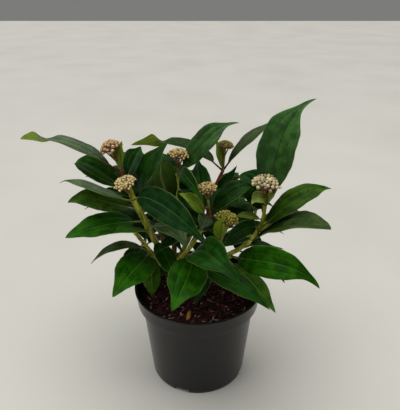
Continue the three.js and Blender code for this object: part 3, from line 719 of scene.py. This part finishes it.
def soil_finishes():
    skins = {
        "bed": finish("soil_bed", [(7, 3, 3), (28, 11, 12), (68, 31, 30)], 0.85, scale=260,
                      bump=(0.9, 1300, 1.5), specular=0.15),
    }
    for kind, colours, roughness, specular in (
        ("red", [(48, 15, 16), (104, 45, 44)], 0.7, 0.2),
        ("brown", [(30, 14, 12), (62, 34, 29)], 0.75, 0.2),
        ("black", [(8, 4, 4), (18, 10, 9)], 0.7, 0.2),
        ("pale", [(116, 84, 78), (170, 138, 130)], 0.8, 0.5),
        ("orange", [(150, 92, 34), (186, 124, 52)], 0.75, 0.5),
    ):
        skins[kind] = finish("bark_" + kind, colours, roughness, scale=400, bump=(0.5, 1600, 0.4),
                             specular=specular)
    return skins


def make_soil():
    """The compost's lumpy bed, strewn with chips and fibres of bark."""
    random = np.random.default_rng(SEED)
    edge = SOIL.top - SOIL.edge_drop
    reach = inside_radius(edge) - SOIL.wall_gap
    flat = reach - SOIL.edge_width

    def level(radius):
        return np.interp(radius, [0, flat, reach], [SOIL.top, SOIL.top, edge])

    middle = np.linspace(SOIL.centre, flat, SOIL.rings)
    rings = np.concatenate([middle, np.linspace(flat, reach, SOIL.edge_rings)[1:]])
    bed = turned(np.stack([rings, level(rings)], axis=1), SOIL.sides)
    for size, height in LUMPS.sizes:
        turns = random.uniform(0, TURN, LUMPS.waves)
        waves = random.uniform(0, TURN, LUMPS.waves)
        for turn, wave in zip(turns, waves):
            along = bed[..., 0] * cos(turn) + bed[..., 1] * sin(turn)
            bed[..., 2] += height * np.sin(along * TURN / size + wave)
    piece = Piece("compost", soil_finishes())
    piece.grid(bed, "bed", closed=True)

    def chip(x, y, turn, length, width, slot):
        z = level(hypot(x, y)) + random.uniform(*CHIPS.lift)
        tilt = random.normal(0, CHIPS.tilt)
        flat_on = cos(tilt)
        forward = np.array([cos(turn) * flat_on, sin(turn) * flat_on, sin(tilt)])
        centres = [np.array([x, y, z]) + forward * length * s for s in CHIPS.places]
        bend = random.normal(0, CHIPS.bend) * length
        centres[1] = centres[1] + np.array([-sin(turn), cos(turn), 0]) * bend
        piece.tube(centres, np.array(CHIPS.shape) * width, slot, sides=CHIPS.sides)

    kinds = [kind for kind, share in CHIPS.kinds.items() for _ in range(share)]
    placed = 0
    while placed < CHIPS.count:
        x, y = random.uniform(-reach, reach, 2)
        lengths = CHIPS.short if placed % CHIPS.long_every else CHIPS.long
        length = random.uniform(*lengths)
        if hypot(x, y) > reach - CHIPS.margin - length / 2:
            continue
        turn = random.uniform(0, pi)
        width = random.uniform(*CHIPS.width) + length * CHIPS.width_per_length
        chip(x, y, turn, length, width, kinds[random.integers(len(kinds))])
        placed += 1
    chip(**LARGE_CHIP)
    piece.make("soil", "soil")


# Crown and stems

def crown_radius(height):
    over = np.maximum(0, height - CROWN.shoulder) / (CROWN.height - CROWN.shoulder)
    flare = CROWN.flare * np.exp(-height / CROWN.flare_height)
    return CROWN.radius * np.sqrt(np.maximum(0, 1 - over * over)) + flare


def on_crown(height, turn, radius):
    """Points at heights above the crown's foot, at turns and radii round its leaning middle."""
    share = height / CROWN.height
    x = CROWN.x + CROWN.lean_x * share + radius * np.cos(turn)
    y = CROWN.y + CROWN.lean_y * share + radius * np.sin(turn) * CROWN.squash
    return np.stack(np.broadcast_arrays(x, y, CROWN.foot + height), axis=-1)


def make_crown():
    """The woody stool, its bark ribbed below each stem."""
    random = np.random.default_rng(SEED + 1)
    sides = CROWN.sides
    heights = CROWN.height * np.sin(np.linspace(0, pi / 2, CROWN.rings))[:, None]
    angle = angles(sides)
    radius = np.repeat(crown_radius(heights), sides, axis=1)
    radius[-1] = CROWN.tip
    rib = 0
    for shoot in SHOOTS.values():
        apart = (angle - radians(shoot["foot"][0]) + pi) % TURN - pi
        rib = rib + np.exp(-apart ** 2 / RIBS.spread)
    ribs = RIBS.height * np.minimum(rib, RIBS.most)
    radius = radius * (1 - RIBS.hollow + ribs + RIBS.grain * grain(random, radius.shape))

    bark = finish("crown_bark", [(58, 40, 22), (92, 70, 40), (116, 98, 60)], 0.85, scale=120,
                  stretch=(1, 1, 0.3), bump=(0.8, 420, 1.2))
    piece = Piece("woody_crown", {"bark": bark})
    piece.grid(on_crown(heights, angle, radius), "bark", closed=True)
    piece.make("crown", "crown")


def stem_curve(shoot):
    """The stem's line as a function of the share of it."""
    turn, height = radians(shoot["foot"][0]), shoot["foot"][1]
    foot = on_crown(height, turn, crown_radius(height) - STEM.sink)
    top = np.array(shoot["top"], float)
    middle = (foot + top) / 2 + np.array(shoot.get("bow", (0, 0, 0)))

    def point(s):
        s = np.asarray(s, float)[..., None]
        return (1 - s) ** 2 * foot + 2 * s * (1 - s) * middle + s * s * top
    return point


def stem_radii(s, nodes, length):
    """Radius along a stem, with a swelling at each node that bears leaves."""
    radii = STEM.foot_radius + (STEM.top_radius - STEM.foot_radius) * s
    for at in set(nodes):
        apart = (s - at) * length / STEM.swelling_length
        radii = radii * (1 + STEM.swelling * np.exp(-apart ** 2))
    return radii


# Leaves

def smoothstep(x, low, over):
    """From 0 to 1 over a span that starts at low."""
    x = np.clip((x - low) / over, 0, 1)
    return x * x * (3 - 2 * x)


def half_width(t, pinch):
    """The blade's outline: half its width along it, as a share of the widest."""
    body = np.sin(pi * t ** LEAF.body_skew).clip(0) ** LEAF.body_power
    return body * (1 - pinch * smoothstep(t, LEAF.tip_from, LEAF.tip_over))


def leaf_frame(one, t):
    """Forward, side and upper directions at shares of the blade."""
    rise = np.radians(one.rise - one.sag * t ** one.bend)
    turn = np.radians(one.turn + one.swing * t)
    flat = np.cos(rise)
    forward = np.stack([np.cos(turn) * flat, np.sin(turn) * flat, np.sin(rise)], axis=-1)
    level = np.stack([-np.sin(turn), np.cos(turn), np.zeros_like(turn)], axis=-1)
    upper = np.cross(forward, level)
    roll = np.radians(one.roll + one.twist * smoothstep(t, one.flip, LEAF.twist_over))
    roll = roll[..., None]
    side = level * np.cos(roll) + upper * np.sin(roll)
    return forward, side, upper * np.cos(roll) - level * np.sin(roll)


def leaf_spine(base, one):
    """The blade's midrib, and the shares that its points are at. Short leaves have half as many."""
    steps = LEAF.steps
    petiole = one.length * LEAF.petiole_share
    start = base + leaf_frame(one, np.zeros(1))[0][0] * petiole
    between = leaf_frame(one, (np.arange(steps) + 0.5) / steps)[0] * (one.length - petiole) / steps
    spine = np.concatenate([start[None], start + np.cumsum(between, axis=0)])
    t = np.arange(steps + 1) / steps
    skip = 1 if one.length > LEAF.short else 2
    return spine[::skip], t[::skip]


def across(widest):
    """Columns from beside the midrib to the margin, as shares of the half width."""
    vein, beside, by = RELIEF.vein, RELIEF.side_vein, COLUMNS.by_vein
    midrib = min(RELIEF.most_midrib, RELIEF.midrib / widest)
    rim = RELIEF.rim / widest
    veins = [vein - by, vein - beside, vein + beside, vein + by]
    inner = [midrib, RELIEF.under_midrib, *COLUMNS.inner]
    return np.array([*inner, *veins, *COLUMNS.outer, 1 - rim, 1])


def leaf_height(u, t, half, phase):
    """How far the upper face stands above the line of the fold, at shares across and along it."""
    a, vein, width = np.abs(u), RELIEF.vein, RELIEF.groove_width
    inner = a < vein
    panel = np.where(inner, a / vein, (a - vein) / (1 - vein))
    arch = np.sqrt((4 * panel * (1 - panel)).clip(0))
    swell = RELIEF.swell * half * arch * np.where(inner, 1, RELIEF.outer_swell)
    groove = RELIEF.side_groove * np.exp(-((a - vein) / width) ** 2) + np.exp(-(a / width) ** 2)
    curl = -RELIEF.curl * half * np.clip((a - RELIEF.curl_from) / RELIEF.curl_over, 0, 1) ** 2
    fade = np.sin(pi * t.clip(RELIEF.ends, 1 - RELIEF.ends)) ** 0.5
    waves = np.sin(TURN * (RELIEF.waves * t + phase + RELIEF.wave_lag * np.sign(u)))
    return fade * (swell - RELIEF.groove * groove + curl) + RELIEF.wave * half * a ** 3 * waves


def leaf_slots(one, u, right):
    """Materials of the faces between the columns of the upper face, then of the lower one."""
    middle = np.abs(u[:-1] + u[1:]) / 2
    vein, beside, rim = RELIEF.vein, RELIEF.side_vein, right[-2]

    def upper(m):
        return "_vein" if m < right[0] else "_side" if abs(m - vein) < beside else ""

    def lower(m):
        return "vein" if m < RELIEF.under_midrib else one.back

    # Faces at the margin take the rim, pale as a painted highlight of the edge
    above = ["rim" if m > rim else one.tone + upper(m) for m in middle]
    below = ["rim" if m > rim else "under_" + lower(m) for m in middle]
    return [*above, "rim", *below, "rim"]


def add_leaf(blades, twigs, base, one, random):
    """One leaf: both faces of its blade, and its stalk."""
    spine, t = leaf_spine(base, one)
    _, side, up = leaf_frame(one, t)
    blade = one.length * (1 - LEAF.petiole_share)
    widest = blade * one.share / 2
    phase = random.uniform(0, 1)
    small_waves = (high * np.sin(TURN * (count * t + lag * phase)) for high, count, lag in LEAF.wobble)
    least = np.where(t < 0.5, *LEAF.least_half)
    half = np.maximum(widest * half_width(t, one.pinch) * sum(small_waves, 1), least)

    # Both faces, on the same columns
    right = across(widest)
    u = np.concatenate([-right[::-1], [0], right])
    along, wide = t[:, None], half[:, None]
    fold, soft = radians(LEAF.fold), LEAF.fold_soft
    lean = np.sqrt(u * u + soft) - sqrt(soft)
    out = -wide * u * cos(fold)
    lift = wide * lean * sin(fold) + leaf_height(u, along, wide, phase)
    thick = RELIEF.half_thick + (RELIEF.rim_thick - RELIEF.half_thick) * np.abs(u) ** 4

    def face(sign):
        high = (lift + sign * thick)[..., None]
        return spine[:, None] + side[:, None] * out[..., None] + up[:, None] * high

    skin = np.concatenate([face(1), face(-1)[:, ::-1]], axis=1)

    # The columns go in backwards, so that the faces look outwards, and their materials with them
    out_cm, along_cm = u * wide / MM_PER_CM, along * blade / MM_PER_CM
    flat = np.stack([out_cm, along_cm - VEINLET_LEAN * np.abs(u) * wide], axis=-1)
    slots = leaf_slots(one, u, right)
    blades.grid(skin[:, ::-1], slots[-2::-1] + slots[-1:],
                np.concatenate([flat, flat[:, ::-1]], axis=1)[:, ::-1], closed=True)

    # Stalk, running on below the blade as its midrib
    below = range(1, int(len(t) * STALK.midrib_share), STALK.midrib_step)
    drop = RELIEF.half_thick + RELIEF.groove + STALK.midrib_drop
    line = [base, base + (spine[0] - base) * 0.5, spine[0], *(spine[i] - up[i] * drop for i in below)]
    size = STALK.radius * min(1, STALK.least + one.length / STALK.growth)
    thinning = (1 - t[i] / STALK.midrib_end for i in below)
    radii = [size * STALK.foot, size, size]
    radii += [size * STALK.midrib * left + STALK.midrib_tip for left in thinning]
    twigs.tube(line, radii, "stalk_" + one.stalk, sides=STALK.sides)


def pair_leaves(at, turn, seed, sides, length):
    """The leaves of one opposite pair that have room, varied as in the solid model."""
    state = seed

    def vary(spread):
        nonlocal state
        state = (state * DRAW.factor + DRAW.step) % DRAW.range
        return (state / DRAW.range - 0.5) * spread

    made = []
    for side in (0, 1):
        turned_by = turn + 180 * side + vary(PAIR.turn_spread)
        rise = PAIR.rise_per_share * at + PAIR.rise_at_foot + vary(PAIR.rise_spread)
        size = length * (PAIR.top_length if at > PAIR.top_share else 1)
        size *= 1 + vary(PAIR.length_spread)
        roll = vary(PAIR.roll_spread)
        tone = HIDDEN_TONES[(seed + side) % len(HIDDEN_TONES)]
        made.append(leaf(at, turned_by, rise, size, tone, roll=roll))
    return [made[side] for side in sides]


# Flower heads

def add_head(piece, random, top, offset, width, kind, tall=1):
    """A domed cyme: a stalk, rays from its fork, and buds on short stalks."""
    offset = np.array(offset, float)
    axis = unit(offset)
    across_x, across_y = crosswise(axis)
    middle = top + offset
    fork = middle + axis * HEAD.fork * width
    reach = HEAD.rim_radius * width

    def at(x, y, z):
        return middle + across_x * x + across_y * y + axis * z

    def dome(x, y):
        out = min(1, hypot(x, y) / reach)
        fall = (HEAD.peak - HEAD.rim) * out ** HEAD.dome_power
        return tall * width * (HEAD.peak - fall)

    stalk = [top - axis * HEAD.stalk_sink, (top + fork) / 2, fork]
    piece.tube(stalk, HEAD.stalk, "peduncle")

    # Rays end in small clusters, one in the middle and the others round it
    turns = angles(HEAD.clusters) + random.uniform(0, 1)
    out = HEAD.cluster_at * reach
    knots = []
    for x, y in [(0, 0), *((out * cos(a), out * sin(a)) for a in turns)]:
        knot = at(x * HEAD.knot_at, y * HEAD.knot_at, dome(x, y) - HEAD.knot_drop * width)
        bend = (fork + knot) / 2 + axis * HEAD.ray_rise
        piece.tube([fork - axis * HEAD.ray_sink, bend, knot], HEAD.ray, "ray", sides=6)
        knots.append((x, y, knot))

    # The cushion below the buds: short stalks, in a darker brown that also paints the shade between the
    # buds
    rings = []
    around = angles(CUSHION.sides)
    for share, drop in CUSHION.rings:
        out = share * reach
        height = dome(out, 0) - drop * width
        ring = np.array([at(out * cos(a), out * sin(a), height) for a in around])
        rings.append(ring + random.normal(0, CUSHION.grain, ring.shape))
    piece.grid(np.array(rings)[:, ::-1], "cushion", closed=True)

    # Buds, on a spiral over the dome
    radius = BUD_SIZES[kind] * width
    count = int(BUD.fill * (reach / radius) ** 2)
    for i in range(count):
        out = reach * sqrt((i + 0.5) / count)
        turn = i * pi * (3 - sqrt(5))
        x = out * cos(turn) + random.normal(0, BUD.shift)
        y = out * sin(turn) + random.normal(0, BUD.shift)
        near = min(knots, key=lambda k: hypot(k[0] - x, k[1] - y))
        gap = hypot(near[0] - x, near[1] - y) / (BUD.sink_over * reach)
        sink = BUD.sink * width * gap ** 2
        centre = at(x, y, dome(x, y) - sink + random.normal(0, BUD.rise))
        piece.tube([near[2], (near[2] + centre) / 2, centre], BUD.stalk, "ray", sides=5)
        add_bud(piece, centre, unit(centre - near[2]), radius * random.uniform(*BUD.size), kind, random)


def add_bud(piece, centre, lean, radius, kind, random):
    """A round closed bud in a small calyx."""
    ring = circle(lean, BUD.sides)
    tall = lean * radius * BUD.stretch
    rows = [centre + tall * sin(a) + ring * radius * cos(a) for a in np.radians(BUD.tilts)]
    shade = BUD.shades[random.integers(len(BUD.shades))]
    calyx = rows[:BUD.calyx_rings]
    piece.grid(np.array(rows[BUD.calyx_rings - 1:]), "bud_" + kind + shade, closed=True)
    wider = [row + BUD.calyx_over * (row - centre) for row in calyx[1:]]
    piece.grid(np.array([calyx[0], *wider]), "calyx", closed=True)


# The whole part

def grow(name, shoot, stems, twigs, blossom, blade_skins, random):
    """One shoot: its bare and its leafy stem, its leaves and its flower head."""
    curve = stem_curve(shoot)
    leaves = list(shoot["leaves"])
    for at, turn, seed, *side in shoot["pairs"]:
        leaves += pair_leaves(at, turn, seed, side or (0, 1), shoot["length"])
    nodes = [one.at for one in leaves]
    enter = min(nodes) - STEM.bare_share
    measured = curve(np.linspace(0, 1, STEM.measured_at))
    length = np.linalg.norm(np.diff(measured, axis=0), axis=1).sum()

    low = np.linspace(0, enter, BARE.rings)
    skin = "brown" if name in BROWN_STEMS else "green"
    stems.tube(curve(low), stem_radii(low, [], length), skin, sides=BARE.sides,
               relief=BARE.relief, random=random)
    high = np.linspace(enter + STEM.gap / length, 1, LEAFY.rings)
    radii = stem_radii(high, nodes, length)
    skins = ["russet" if s > RUSSET_TOPS.get(name, 1) else "green" for s in high]
    for skin in sorted(set(skins)):
        part = [i for i, one in enumerate(skins) if one == skin]
        twigs.tube(curve(high[part]), radii[part], skin, sides=LEAFY.sides, relief=LEAFY.relief,
                   random=random)

    blades = Piece("leaves_" + name, blade_skins)
    for one in leaves:
        add_leaf(blades, twigs, curve(one.at), one, random)
    blades.make("foliage", "foliage_" + name)
    if "head" in shoot:
        add_head(blossom, random, curve(1), *shoot["head"])


def make_plant():
    make_crown()
    random = np.random.default_rng(SEED + 2)
    stem_skins, blade_skins = stem_finishes(), leaf_finishes()
    stems = Piece("bark_stems", {key: stem_skins[key] for key in ("green", "brown")})
    twigs = Piece("twigs", stem_skins)
    blossom = Piece("flower_buds", flower_finishes())
    for name, shoot in SHOOTS.items():
        grow(name, shoot, stems, twigs, blossom, blade_skins, random)
    stems.make("stems", *["stem_" + name for name in SHOOTS])
    twigs.make("foliage")
    blossom.make("foliage")


make_studio()
make_pot()
make_soil()
make_plant()
